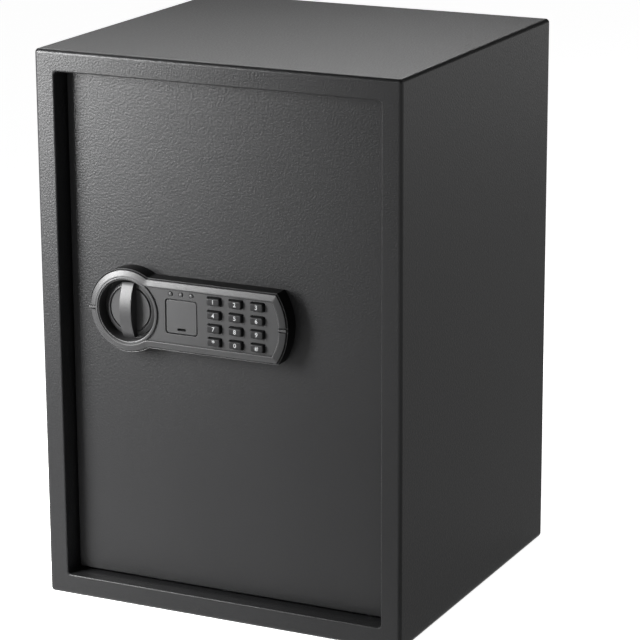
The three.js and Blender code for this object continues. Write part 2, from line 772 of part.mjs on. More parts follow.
// The lead from the keypad, through the door to the control board's connector.
function keypadCable() {
  const start = PANEL_BACK + 5.6 + GAP;
  const end = BOARD_FRONT - 3 - GAP;
  const route = new THREE.CatmullRomCurve3([
    new THREE.Vector3(CABLE.x, start, MID + 1),
    new THREE.Vector3(CABLE.x, start + 4, MID + 1),
    new THREE.Vector3(CABLE.x, DOOR_BACK, MID),
    new THREE.Vector3(CABLE.x, end - 2, MID - 3),
    new THREE.Vector3(CABLE.x, end, MID - 3),
  ]);
  const section = clean(new THREE.Shape().absarc(0, 0, CABLE.radius, 0, 2 * Math.PI), 5);
  return solid(new THREE.ExtrudeGeometry(section, { extrudePath: route, steps: 12 }));
}

function resetButton() {
  const { x, z, radius } = RESET;
  const flange = COVER_FRONT - GAP;
  return turned(
    x,
    z,
    [
      [0, flange - 1.2],
      [radius + 1.5, flange - 1.2],
      [radius + 1.5, flange],
      [radius, flange],
      [radius, COVER_BACK + 1.2],
      [radius - 0.8, COVER_BACK + 2],
      [0, COVER_BACK + 2],
    ],
    28,
  );
}

// ---------------------------------------------------------------- assembly

add("body_shell", bodyShell(), MATERIAL.cabinet);
add("back_panel", backPanel(), MATERIAL.cabinet);
add("hinge_socket_upper", hingeSocket(OPEN_HIGH + 1, HEIGHT - SHEET - GAP), MATERIAL.zinc);
add("hinge_socket_lower", hingeSocket(SHEET + GAP, OPEN_LOW - 1), MATERIAL.zinc);
add("shelf_rail_left", shelfRail(-1), MATERIAL.cabinet);
add("shelf_rail_right", shelfRail(1), MATERIAL.cabinet);
add("shelf", shelf(), MATERIAL.cabinet);
add("floor_mat", floorMat(), MATERIAL.felt);

add("door_plate", doorPlate(), MATERIAL.door);
add("bolt_housing", boltHousing(), MATERIAL.cabinet);
add("housing_cover", housingCover(), MATERIAL.cabinet);
SCREWS.forEach((screw, i) => add(`cover_screw_${i + 1}`, coverScrew(screw), MATERIAL.zinc));
add("hinge_bracket_upper", hingeBracket(DOOR_HIGH - 42, DOOR_HIGH - 2), MATERIAL.cabinet);
add("hinge_bracket_lower", hingeBracket(DOOR_LOW + 2, DOOR_LOW + 42), MATERIAL.cabinet);
const pinOf = (z0, z1) => rodZ(HINGE.x, HINGE.y, HINGE.pin, z0, z1);
add("hinge_pin_upper", pinOf(DOOR_HIGH - 38, HEIGHT - 7), MATERIAL.zinc);
add("hinge_pin_lower", pinOf(7, DOOR_LOW + 38), MATERIAL.zinc);

add("bolt_carriage", boltCarriage(), MATERIAL.zinc);
add("locking_bolt_upper", lockingBolt(MID + BOLT.spread), MATERIAL.chrome);
add("locking_bolt_lower", lockingBolt(MID - BOLT.spread), MATERIAL.chrome);
add("carriage_guide_upper", carriageGuide(MID + GUIDE.spread), MATERIAL.zinc);
add("carriage_guide_lower", carriageGuide(MID - GUIDE.spread), MATERIAL.zinc);
add("crank_spindle", crankSpindle(), MATERIAL.zinc);
add("spindle_bush", spindleBush(), MATERIAL.brass);

add("solenoid_body", solenoidBody(), MATERIAL.coil);
add("solenoid_plunger", solenoidPlunger(), MATERIAL.zinc);
add("plunger_spring", plungerSpring(), MATERIAL.chrome);
add("key_lock_housing", keyLockHousing(), MATERIAL.chrome);
add("key_lock_plug", keyLockPlug(), MATERIAL.brass);
add("override_lever", overrideLever(), MATERIAL.zinc);

add("keypad_bezel", keypadBezel(), MATERIAL.plastic);
add("knob", knob(), MATERIAL.plastic);
add("key_cover", keyCover(), MATERIAL.plastic);
INDICATORS.forEach((lamp) => add(lamp.name, indicator(lamp), MATERIAL.lens));
KEYS.forEach((key) => add(key.name, keypadKey(key), MATERIAL.rubber));
add("keypad_board", keypadBoard(), MATERIAL.board);

add("battery_tray", batteryTray(), MATERIAL.plastic);
[0, 1, 2, 3].forEach((i) => add(`battery_cell_${i + 1}`, batteryCell(i), MATERIAL.cell));
add("battery_door", batteryDoor(), MATERIAL.plastic);
add("control_board", controlBoard(), MATERIAL.board);
add("keypad_cable", keypadCable(), MATERIAL.rubber);
add("reset_button", resetButton(), MATERIAL.red);

export default safe;
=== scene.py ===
"""The visible safe, with its materials, light and camera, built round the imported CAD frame.

Sizes are in millimetres, and mm() turns them into metres. +X is right, +Y is back and +Z is up.
X is 0 at the middle of the cabinet's width, and Z is 0 at its underside.
"""
import math

import bmesh
import bpy
from mathutils import Matrix, Vector


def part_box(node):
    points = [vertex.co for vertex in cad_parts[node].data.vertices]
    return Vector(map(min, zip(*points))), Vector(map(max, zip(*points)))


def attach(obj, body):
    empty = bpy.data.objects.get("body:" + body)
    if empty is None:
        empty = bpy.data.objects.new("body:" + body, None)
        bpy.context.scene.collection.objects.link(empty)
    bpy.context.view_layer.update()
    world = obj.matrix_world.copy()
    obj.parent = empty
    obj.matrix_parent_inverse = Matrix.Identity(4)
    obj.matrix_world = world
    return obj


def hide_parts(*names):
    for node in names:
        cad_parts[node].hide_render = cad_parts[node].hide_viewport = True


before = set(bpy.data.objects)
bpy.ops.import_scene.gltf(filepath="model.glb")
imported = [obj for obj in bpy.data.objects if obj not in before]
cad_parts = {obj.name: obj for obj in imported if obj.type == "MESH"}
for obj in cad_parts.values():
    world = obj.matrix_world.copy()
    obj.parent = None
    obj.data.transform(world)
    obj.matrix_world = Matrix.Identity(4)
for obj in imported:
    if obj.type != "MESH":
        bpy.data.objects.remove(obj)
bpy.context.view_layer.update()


# ---------------------------------------------------------------- names and sizes from the frame

def span(node):
    """A CAD node's box in millimetres, as (x0, x1, y0, y1, z0, z1)."""
    low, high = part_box(node)
    return [1000 * v for pair in zip(low, high) for v in pair]


def centre(node):
    """The middle of a CAD node's box in X and Z."""
    x0, x1, _, _, z0, z1 = span(node)
    return (x0 + x1) / 2, (z0 + z1) / 2


SHELL = span("body_shell")
BEZEL = span("keypad_bezel")
KNOB = span("knob")
LID = span("key_cover")
BATTERY_LID = span("battery_door")

HALF_WIDTH = SHELL[1]
FRONT = SHELL[2]
BACK = SHELL[3]
HEIGHT = SHELL[5]

KNOB_X, MID = centre("knob")
LOCK_X, LOCK_Z = centre("key_cover")
RESET_PLACE = centre("reset_button")
SCREWS = [f"cover_screw_{number}" for number in range(1, 5)]
LAMPS = ["indicator_left", "indicator_middle", "indicator_right"]
BOLTS = ["locking_bolt_upper", "locking_bolt_lower"]
CELLS = [f"battery_cell_{number}" for number in range(1, 5)]
KEYS = ["1", "2", "3", "4", "5", "6", "7", "8", "9", "star", "0", "hash"]
LEGENDS = {"star": "*", "hash": "#"}


# ---------------------------------------------------------------- driving dimensions

# Cabinet: the sheet, the outer radius of its folds, the front frame and its lip, the rear rim.
SHEET = 2.0
BEND = 3.6
FRAME = 19.0
LIP_DEPTH = 23.0
LIP_ROUND = 1.4
REAR_RIM = 14.0
LEAST_CORNER = 0.2
INNER_CORNER = 1.0

# Anchor holes: two in the floor and two in the rear sheet.
ANCHOR_RADIUS = 5.0
ANCHORS_X = (-90, 90)
FLOOR_ANCHORS_Y = 40
REAR_ANCHORS_Z = 350

# Holes through the door, for the knob's spindle, the key lock and the keypad's cable.
SPINDLE_HOLE = 7.3
LOCK_HOLE = 11.4
CABLE_HOLE = 5
CABLE_X = 45

# Keypad bezel: a ring round the knob, and a bar with a bowed end.
RING = KNOB_X - BEZEL[0]
BAR_HALF = 31.8
END_RADIUS = 56.0
END_X = BEZEL[1] - END_RADIUS
FILLET = 4.0
RIM = 8.0
CREST = 0.05
NOTCH_DEPTH = 3.4

# The knob's well, the lip round it, and the dial's depth in it.
WELL = 27.7
WELL_DEPTH = 13.5
WELL_LIP = WELL + 3.1
DIAL_DEPTH = 8.0

# The keypad's sunk panel, how far a key's flange reaches past its face, and the legends' sizes.
SUNK = 1.6
SKIN = 2.0
PANEL_FACE = FRONT + SUNK
FLANGE = 1.5
LEGEND_SIZE = 5.4
STAR_SIZE = 6.6

# Mesh making: the angle above which an edge stays sharp, the radius that stands for a point on
# the axis of a turned piece, and the distance within which points merge.
SHARP_ANGLE = 32
ON_AXIS = 0.001
MERGE = 0.002


def mm(*values):
    """Millimetres as metres: one number, or a vector of three."""
    scaled = [v * 0.001 for v in values]
    return scaled[0] if len(scaled) == 1 else Vector(scaled)


# ---------------------------------------------------------------- materials

def new_material(name):
    """A new material and its Principled shader."""
    material = bpy.data.materials.new(name)
    material.use_nodes = True
    return material, material.node_tree.nodes["Principled BSDF"]


def surface(name, color, roughness, metallic=0.0, grain=900.0, bump=0.1, relief=0.05,
            tint=0.15, rough_spread=0.06, stretch=(1, 1, 1), coat=0.0, sheen=0.0, detail=4.0,
            shine=0.5):
    """A Principled surface with a fine bump grain, a slow change of tone and uneven gloss.

    grain is the bump's frequency per metre, relief its height in millimetres, tint and
    rough_spread how far the tone and the roughness wander over the surface, and shine the
    specular level. The tone wanders over patches 60 times as wide as the grain.
    """
    material, shader = new_material(name)
    nodes = material.node_tree.nodes
    links = material.node_tree.links
    place = nodes.new("ShaderNodeTexCoord")
    mapping = nodes.new("ShaderNodeMapping")
    mapping.inputs["Scale"].default_value = stretch
    links.new(place.outputs["Object"], mapping.inputs["Vector"])

    def noise(scale, octaves):
        node = nodes.new("ShaderNodeTexNoise")
        node.inputs["Scale"].default_value = scale
        node.inputs["Detail"].default_value = octaves
        links.new(mapping.outputs["Vector"], node.inputs["Vector"])
        return node.outputs["Fac"]

    slow = noise(grain / 60, 3)
    fine = noise(grain, detail)
    tone = nodes.new("ShaderNodeMix")
    tone.data_type = "RGBA"
    tone.inputs["A"].default_value = [c * (1 - tint) for c in color] + [1]
    tone.inputs["B"].default_value = [c * (1 + tint) for c in color] + [1]
    links.new(slow, tone.inputs["Factor"])
    links.new(tone.outputs["Result"], shader.inputs["Base Color"])
    gloss = nodes.new("ShaderNodeMapRange")
    gloss.inputs["To Min"].default_value = max(roughness - rough_spread, 0.02)
    gloss.inputs["To Max"].default_value = roughness + rough_spread
    links.new(fine, gloss.inputs["Value"])
    links.new(gloss.outputs["Result"], shader.inputs["Roughness"])
    dent = nodes.new("ShaderNodeBump")
    dent.inputs["Strength"].default_value = bump
    dent.inputs["Distance"].default_value = mm(relief)
    links.new(fine, dent.inputs["Height"])
    links.new(dent.outputs["Normal"], shader.inputs["Normal"])
    shader.inputs["Metallic"].default_value = metallic
    shader.inputs["Specular IOR Level"].default_value = shine
    shader.inputs["Coat Weight"].default_value = coat
    shader.inputs["Coat Roughness"].default_value = 0.2
    shader.inputs["Sheen Weight"].default_value = sheen
    shader.inputs["Sheen Roughness"].default_value = 0.6
    return material


POWDER = surface("powder_coat", (0.0072, 0.0073, 0.0076), 0.38, grain=560, bump=1.0, relief=0.24,
                 rough_spread=0.11, shine=0.19)
PLASTIC = surface("bezel_plastic", (0.016, 0.016, 0.0164), 0.42, grain=2600, bump=0.35, relief=0.03,
                  shine=0.25)
# A darker, duller copy of the bezel plastic for the bezel's side walls: painted shade where the walls fall
# dark.
SKIRT_PAINTED_SHADE = surface("bezel_skirt", (0.003, 0.003, 0.0031), 0.6, grain=2600, bump=0.35, relief=0.03,
                shine=0.06)
LID_PLASTIC = surface("lid_plastic", (0.012, 0.012, 0.0124), 0.5, grain=2200, bump=0.5, relief=0.04,
                      shine=0.3)
RUBBER = surface("key_rubber", (0.006, 0.006, 0.0063), 0.5, grain=1800, bump=0.3, relief=0.03,
                 shine=0.13)
LEGEND = surface("legend_white", (0.21, 0.212, 0.215), 0.6, grain=2600, bump=0.1, tint=0.04,
                 shine=0.2)
LENS = surface("indicator_lens", (0.02, 0.02, 0.0205), 0.5, grain=2600, bump=0.05, shine=0.25)
ZINC = surface("zinc_steel", (0.36, 0.365, 0.38), 0.32, 1.0, grain=1400, bump=0.2, tint=0.2,
               rough_spread=0.12)
CHROME = surface("chrome_steel", (0.48, 0.485, 0.5), 0.14, 1.0, grain=700, bump=0.12,
                 stretch=(6, 0.6, 0.6), rough_spread=0.07)
BRASS = surface("brass", (0.68, 0.48, 0.2), 0.28, 1.0, grain=1600, bump=0.15)
COIL = surface("coil_tape", (0.3, 0.16, 0.05), 0.45, grain=260, bump=0.7, relief=0.3,
               stretch=(0.2, 0.2, 6))
BOARD = surface("circuit_board", (0.012, 0.11, 0.045), 0.38, grain=420, bump=0.5, relief=0.12,
                tint=0.5, coat=0.5)
SLEEVE = surface("cell_sleeve", (0.035, 0.1, 0.27), 0.26, grain=500, bump=0.08, coat=0.6)
CASE = surface("battery_plastic", (0.02, 0.02, 0.021), 0.48, grain=1500, bump=0.45, relief=0.05)
CABLE = surface("cable_sheath", (0.02, 0.02, 0.02), 0.5, grain=1200, bump=0.3, relief=0.05)
RED = surface("reset_red", (0.42, 0.015, 0.012), 0.32, grain=1600, bump=0.1, coat=0.3)
FELT = surface("mat_felt", (0.014, 0.0145, 0.016), 0.95, grain=1500, bump=1.0, relief=0.5,
               tint=0.45, sheen=0.35, detail=8.0)


# ---------------------------------------------------------------- outlines

def quarter(steps):
    """The angles of a quarter turn, in radians, in equal steps from 0."""
    return [math.radians(90 * i / steps) for i in range(steps + 1)]


def arc(x, z, radius, start, end, steps):
    """Points of an arc in X and Z, with its angles in degrees."""
    turn = [math.radians(start + (end - start) * i / steps) for i in range(steps + 1)]
    return [(x + radius * math.cos(a), z + radius * math.sin(a)) for a in turn]


def rounded(x0, x1, z0, z1, r, steps=8):
    """A rectangle with four rounded corners, anticlockwise."""
    corners = [(x1 - r, z0 + r, -90), (x1 - r, z1 - r, 0), (x0 + r, z1 - r, 90), (x0 + r, z0 + r, 180)]
    return [p for x, z, a in corners for p in arc(x, z, r, a, a + 90, steps)]


def circle(x, z, radius, steps=48):
    """A circle, anticlockwise."""
    return arc(x, z, radius, 0, 360, steps)[:-1]


def is_anticlockwise(points):
    """Tells which way an outline runs, by the sign of its area."""
    edges = zip(points, points[1:] + points[:1])
    return sum(a[0] * b[1] - b[0] * a[1] for a, b in edges) > 0


# ---------------------------------------------------------------- mesh making

# For each axis that a slab can run along: its direction, and the turn from the outline's own plane.
AXES = {
    "x": (Vector((1, 0, 0)), Matrix(((0, 0, 1), (1, 0, 0), (0, 1, 0))).to_4x4()),
    "y": (Vector((0, 1, 0)), Matrix(((1, 0, 0), (0, 0, -1), (0, 1, 0))).to_4x4()),
    "z": (Vector((0, 0, 1)), Matrix.Identity(4)),
}


def linked(name, data):
    """A new object in the scene."""
    obj = bpy.data.objects.new(name, data)
    bpy.context.scene.collection.objects.link(obj)
    return obj


def evaluated(obj):
    """A new mesh with an object's curve, text or modifiers worked out."""
    bpy.context.view_layer.update()
    result = obj.evaluated_get(bpy.context.evaluated_depsgraph_get())
    return bpy.data.meshes.new_from_object(result)


def curve_mesh(name, curve):
    """The mesh of a curve or a text, which is thrown away."""
    shape = linked(name, curve)
    mesh = evaluated(shape)
    bpy.data.objects.remove(shape)
    bpy.data.curves.remove(curve)
    return mesh


def smooth(obj, material, angle=SHARP_ANGLE):
    """Gives a finished mesh its material and shades it smooth except across real edges."""
    mesh = obj.data
    mesh.materials.clear()
    mesh.materials.append(material)
    mesh.polygons.foreach_set("use_smooth", [True] * len(mesh.polygons))
    mesh.set_sharp_from_angle(angle=math.radians(angle))
    return obj


def tidy(obj, material, angle=SHARP_ANGLE):
    """Merges a new mesh's doubled points, turns its faces outwards and shades it."""
    work = bmesh.new()
    work.from_mesh(obj.data)
    bmesh.ops.remove_doubles(work, verts=work.verts, dist=mm(MERGE))
    bmesh.ops.recalc_face_normals(work, faces=work.faces)
    work.to_mesh(obj.data)
    work.free()
    return smooth(obj, material, angle)


def slab(name, outlines, low, high, material, bevel=0.0, along="y", rounds=3):
    """Outlines in millimetres, the first the outside and the rest holes, extruded along an axis.

    Along y an outline is (x, z), along x it is (y, z), and along z it is (x, y). The bevel rounds
    every edge of both faces.
    """
    curve = bpy.data.curves.new(name, "CURVE")
    curve.dimensions = "2D"
    curve.fill_mode = "BOTH"
    curve.extrude = mm((high - low) / 2 - bevel)
    curve.bevel_depth = mm(bevel)
    curve.bevel_resolution = rounds
    curve.offset = -mm(bevel)
    for i, points in enumerate(outlines):
        is_outside = i == 0
        ordered = points if is_anticlockwise(points) == is_outside else points[::-1]
        spline = curve.splines.new("POLY")
        spline.points.add(len(ordered) - 1)
        for point, (u, v) in zip(spline.points, ordered):
            point.co = (mm(u), mm(v), 0, 1)
        spline.use_cyclic_u = True
    mesh = curve_mesh(name, curve)
    direction, turn = AXES[along]
    mesh.transform(Matrix.Translation(direction * mm((low + high) / 2)) @ turn)
    return tidy(linked(name, mesh), material)


def loft(name, loops, material, closed=True, angle=SHARP_ANGLE):
    """Quads between loops of equally many (x, y, z) points. closed joins the last loop to the first."""
    count = len(loops[0])
    pairs = list(zip(range(len(loops)), range(1, len(loops))))
    if closed:
        pairs.append((len(loops) - 1, 0))
    faces = []
    for a, b in pairs:
        for i in range(count):
            j = (i + 1) % count
            faces.append((a * count + i, a * count + j, b * count + j, b * count + i))
    if not closed:
        faces.append(tuple(range(count)))
        faces.append(tuple(range((len(loops) - 1) * count, len(loops) * count)))
    mesh = bpy.data.meshes.new(name)
    mesh.from_pydata([mm(*point) for loop in loops for point in loop], [], faces)
    return tidy(linked(name, mesh), material, angle)


def turned(name, place, profile, material, along="y", sides=64):
    """A profile of (radius, station) turned about an axis through a place, in millimetres.

    Along y the place is (x, z), and along x it is (y, z).
    """
    u, v = place
    loops = []
    for radius, station in profile:
        ring = circle(0, 0, max(radius, ON_AXIS), sides)
        if along == "x":
            loops.append([(station, u + a, v + b) for a, b in ring])
        else:
            loops.append([(u + a, station, v + b) for a, b in ring])
    return loft(name, loops, material, closed=profile[0][0] > 0)


def join(name, *pieces):
    """Several meshes as one object, which keeps each one's materials."""
    base = pieces[0]
    with bpy.context.temp_override(
        active_object=base, selected_editable_objects=list(pieces), selected_objects=list(pieces)
    ):
        bpy.ops.object.join()
    base.name = name
    return base


def carve(obj, *tools):
    """Cuts the tools out of a mesh and throws them away."""
    for tool in tools:
        cutter = obj.modifiers.new("cut", "BOOLEAN")
        cutter.operation = "DIFFERENCE"
        cutter.solver = "EXACT"
        cutter.object = tool
        cut_mesh = evaluated(obj)
        obj.modifiers.clear()
        old_mesh = obj.data
        obj.data = cut_mesh
        bpy.data.meshes.remove(old_mesh)
        bpy.data.objects.remove(tool)
    return smooth(obj, obj.data.materials[0])


def even_shading(obj):
    """Lets the widest faces set the shading, so that flat sheets look flat up to their edges."""
    even = obj.modifiers.new("even", "WEIGHTED_NORMAL")
    even.keep_sharp = True
    even.weight = 80


def fit(obj, body, slot, *nodes):
    """Says which body a piece rides on, and hides the CAD nodes it stands for. The slot argument is not
    used.
    """
    even_shading(obj)
    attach(obj, body)
    if nodes:
        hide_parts(*nodes)


# ---------------------------------------------------------------- cabinet

def cabinet_loop(inset, y, corner):
    """A rounded rectangle as a loop of points, inset from the cabinet's outside."""
    half = HALF_WIDTH - inset
    return [(x, y, z) for x, z in rounded(-half, half, inset, HEIGHT - inset, corner, 6)]


def cabinet_shell():
    """The folded wall, the front frame with its lip, and the rear rim, as one closed sheet."""
    lip_end = FRONT + LIP_DEPTH
    loops = [cabinet_loop(REAR_RIM, BACK, BEND)]
    for a in quarter(6):
        inset = BEND * (1 - math.sin(a))
        y = BACK - BEND * (1 - math.cos(a))
        loops.append(cabinet_loop(inset, y, max(BEND - inset, LEAST_CORNER)))
    for a in quarter(6):
        inset = BEND * (1 - math.cos(a))
        y = FRONT + BEND * (1 - math.sin(a))
        loops.append(cabinet_loop(inset, y, max(BEND - inset, LEAST_CORNER)))
    for a in quarter(5):
        inset = FRAME - LIP_ROUND * (1 - math.sin(a))
        loops.append(cabinet_loop(inset, FRONT + LIP_ROUND * (1 - math.cos(a)), BEND))
    loops += [
        cabinet_loop(FRAME, lip_end, BEND),
        cabinet_loop(FRAME - SHEET, lip_end, BEND + SHEET),
        cabinet_loop(FRAME - SHEET, FRONT + SHEET, BEND + SHEET),
        cabinet_loop(SHEET, FRONT + SHEET, INNER_CORNER),
        cabinet_loop(SHEET, BACK - SHEET, INNER_CORNER),
        cabinet_loop(REAR_RIM, BACK - SHEET, BEND),
    ]
    shell = loft("cabinet_shell", loops, POWDER)
    drills = [
        slab("drill", [circle(x, FLOOR_ANCHORS_Y, ANCHOR_RADIUS)], -1, SHEET + 1, POWDER, along="z")
        for x in ANCHORS_X
    ]
    return carve(shell, *drills)


def rear_panel():
    """The rear sheet with its two anchor holes."""
    x0, x1, y0, y1, z0, z1 = span("back_panel")
    holes = [circle(x, REAR_ANCHORS_Z, ANCHOR_RADIUS) for x in ANCHORS_X]
    return slab("rear_panel", [rounded(x0, x1, z0, z1, 2), *holes], y0, y1, POWDER, 0.25)


def shelf_board():
    """The shelf: a sheet whose front and back edges roll over and run down between the rails."""
    x0, x1, y0, y1, z0, z1 = span("shelf")
    sheet = 1.2
    roll = 2.4
    end_length = 17
    overlap = 0.5
    bevel = 0.15
    front = y0 + roll
    back = y1 - roll
    height = z1 - roll
    outer = arc(front, height, roll, 180, 90, 6) + arc(back, height, roll, 90, 0, 6)
    inner = arc(back, height, roll - sheet, 0, 90, 6) + arc(front, height, roll - sheet, 90, 180, 6)
    fold = [(y0, z0), *outer, (y1, z0), (y1 - sheet, z0), *inner, (y0 + sheet, z0)]
    folded = x1 - end_length
    body = slab("shelf_board", [fold], -folded, folded, POWDER, bevel, along="x")
    flat = rounded(y0 + 1, y1 - 1, z1 - sheet, z1, 0.55, 3)
    ends = [
        slab("shelf_end", [flat], low, high, POWDER, bevel, along="x")
        for low, high in ((x0, -folded + overlap), (folded - overlap, x1))
    ]
    return join("shelf_board", body, *ends)


def felt_mat():
    """The felt mat, with rounded corners, a soft edge and a punched hole over each anchor hole."""
    x0, x1, y0, y1, z0, z1 = span("floor_mat")
    punch = ANCHOR_RADIUS + 2.5
    punches = [circle(x, FLOOR_ANCHORS_Y, punch, 32) for x in ANCHORS_X]
    return slab("felt_mat", [rounded(x0, x1, y0, y1, 8), *punches], z0, z1, FELT, 0.9, along="z")


# ---------------------------------------------------------------- door

def door_leaf():
    """The door's sheet, with the holes behind the bezel."""
    x0, x1, y0, y1, z0, z1 = span("door_plate")
    outlines = [
        rounded(x0, x1, z0, z1, 3),
        circle(KNOB_X, MID, SPINDLE_HOLE),
        circle(LOCK_X, LOCK_Z, LOCK_HOLE),
        circle(CABLE_X, MID, CABLE_HOLE),
    ]
    return slab("door_leaf", outlines, y0, y1, POWDER, 1.0, rounds=4)


def inner_cover():
    """The bolt housing's cover: a sheet with its hatch and holes, and two raised borders."""
    x0, x1, y0, y1, z0, z1 = span("housing_cover")
    lid_left, lid_right, _, _, lid_low, lid_high = BATTERY_LID
    seat = 4
    hatch = rounded(lid_left + seat, lid_right - seat, lid_low + seat, lid_high - seat, 2)
    screws = [circle(*centre(screw), 2.3, 20) for screw in SCREWS]
    button = circle(*RESET_PLACE, 4.4)
    sheet = slab("inner_cover", [rounded(x0, x1, z0, z1, 3), hatch, button, *screws], y0, y1, POWDER, 0.3)
    left = x0 + 26
    width = 3
    height = 1.1
    corner = 8
    places = [
        (lid_left - 5, z0 + 34, z0 + 70),
        (x1 - 58, z1 - 58, z1 - 34),
    ]
    borders = []
    for right, low, high in places:
        outer = rounded(left, right, low, high, corner)
        inner = rounded(left + width, right - width, low + width, high - width, corner - width)
        borders.append(slab("border", [outer, inner], y1 - 0.3, y1 + height, POWDER, 0.55))
    return join("inner_cover", sheet, *borders)


def pan_screw(node):
    """A pan-head screw with a threaded shank, a domed head and a cross recess."""
    x, z = centre(node)
    y0, y1 = span(node)[2:4]
    head = 4
    side = 0.9
    rise = 1.5
    seat = y1 - side - rise
    root = 1.55
    crest = 1.9
    turns = 7
    thread = []
    for i in range(turns):
        y = y0 + 0.8 + i * (seat - y0 - 1) / turns
        thread += [(root, y), (crest, y + 0.4)]
    dome = [(head * math.cos(a), seat + side + rise * math.sin(a)) for a in quarter(6)[:-1]]
    tip = [(0, y0), (1.2, y0)]
    rim = [(crest, seat), (head - 0.1, seat), (head, seat + 0.2)]
    body = turned("screw", (x, z), [*tip, *thread, *rim, *dome, (0, y1)], ZINC, sides=40)
    long = 2.3
    short = 0.42
    arms = [
        slab("arm", [rounded(x - w, x + w, z - h, z + h, 0.3, 3)], y1 - 1.5, y1 + 1, ZINC)
        for w, h in ((long, short), (short, long))
    ]
    return carve(body, *arms)


def reset_knob():
    """The red code button: a flange behind the cover, a rounded edge and a dished face."""
    y0, y1 = span("reset_button")[2:4]
    radius = 4
    flange = 5.5
    shoulder = y0 + 1.2
    edge = 0.9
    base = [(0, y0), (flange, y0), (flange, shoulder), (radius, shoulder)]
    rounding = [(radius - edge * (1 - math.cos(a)), y1 + edge * (math.sin(a) - 1)) for a in quarter(4)]
    dish = [(2.6, y1 - 0.05), (1.6, y1 - 0.3), (0, y1 - 0.4)]
    return turned("reset_knob", RESET_PLACE, [*base, *rounding, *dish], RED)


def battery_lid():
    """The lid over the cells: a rounded panel with moulded grip ridges and a thumb arrow."""
    x0, x1, y0, y1, z0, z1 = BATTERY_LID
    top = y1 - 0.9
    root = top - 0.3
    middle = (x0 + x1) / 2
    parts = [slab("battery_lid", [rounded(x0, x1, z0, z1, 3)], y0, top, CASE, 0.5)]
    half_length = 11
    half_width = 0.7
    pitch = 3
    for i in range(4):
        z = z0 + 8 + pitch * i
        ridge = rounded(middle - half_length, middle + half_length, z - half_width, z + half_width, 0.65, 4)
        parts.append(slab("ridge", [ridge], root, y1, CASE, 0.4))
    arrow_top = z0 + 27
    arrow = [(middle - 5, arrow_top), (middle, arrow_top - 5), (middle + 5, arrow_top)]
    parts.append(slab("arrow", [arrow], root, top + 0.4, CASE, 0.2))
    return join("battery_lid", *parts)


def bolt_bar(node):
    """A locking bolt: a ground bar with a chamfered nose and a turned groove near its root."""
    x0, x1, y0, y1, z0, z1 = span(node)
    place = ((y0 + y1) / 2, (z0 + z1) / 2)
    r = (y1 - y0) / 2
    step = 0.6
    nose = [(0, x0), (r - 1.6, x0), (r - 0.9, x0 + 0.3), (r, x0 + 1.5)]
    groove = [(r, x1 - 10), (r - step, x1 - 9.4), (r - step, x1 - 7.6), (r, x1 - 7)]
    root = [(r, x1 - step), (r - step, x1), (0, x1)]
    return turned(node + "_bar", place, nose + groove + root, CHROME, along="x")


def cell(node):
    """A round cell: a bright can with a plain sleeve shrunk over it. Odd cells point towards -X.

    A profile point is its radius and its distance from the cell's flat end.
    """
    x0, x1, y0, y1, z0, z1 = span(node)
    place = ((y0 + y1) / 2, (z0 + z1) / 2)
    r = (y1 - y0) / 2
    is_odd = int(node[-1]) % 2 == 1
    start = x1 if is_odd else x0
    step = -1 if is_odd else 1
    body = [(0, 0), (r - 1.2, 0), (r - 0.5, 0.6), (r - 0.5, 48.6), (r - 1.2, 49.2)]
    button = [(2.8, 49.3), (2.8, 50.1), (2.4, 50.5), (0, 50.5)]
    sleeve = [(r - 0.6, 0.9), (r, 1.3), (r, 48.0), (r - 0.6, 48.5)]

    def stationed(profile):
        return [(radius, start + step * distance) for radius, distance in profile]

    can = turned(node + "_can", place, stationed(body + button), CHROME, along="x", sides=48)
    wrap = turned(node + "_wrap", place, stationed(sleeve), SLEEVE, along="x", sides=48)
    return join(node + "_can", can, wrap)


# ---------------------------------------------------------------- keypad bezel

def bezel_outline(inset):
    """The bezel's outline, inset: a ring round the knob, filleted into a bar with a bowed end."""
    ring = RING - inset
    half = BAR_HALF - inset
    end = END_RADIUS - inset
    lean = math.degrees(math.asin(half / end))
    fillet_z = BAR_HALF + FILLET
    fillet_x = KNOB_X + math.sqrt((RING + FILLET) ** 2 - fillet_z ** 2)
    meet = math.degrees(math.atan2(fillet_z, fillet_x - KNOB_X))
    points = arc(END_X, MID, end, -lean, lean, 28)
    points += arc(fillet_x, MID + fillet_z, FILLET + inset, -90, meet - 180, 8)
    points += arc(KNOB_X, MID, ring, meet, 360 - meet, 56)[1:-1]
    points += arc(fillet_x, MID - fillet_z, FILLET + inset, 180 - meet, 90, 8)
    return points


def panel_outline(inset, lip):
    """The sunk panel's outline, from a lip round the knob's well to the bowed end."""
    half = BAR_HALF - inset
    end = END_RADIUS - inset
    lean = math.degrees(math.asin(half / end))
    meet = math.degrees(math.asin(half / lip))
    return arc(END_X, MID, end, -lean, lean, 24) + arc(KNOB_X, MID, lip, meet, -meet, 24)


def key_box(name, grow=0.0):
    """A key's face as (x0, x1, z0, z1), without the flange behind it."""
    x0, x1, _, _, z0, z1 = span(f"key_{name}")
    flange = FLANGE - grow
    return x0 + flange, x1 - flange, z0 + flange, z1 - flange


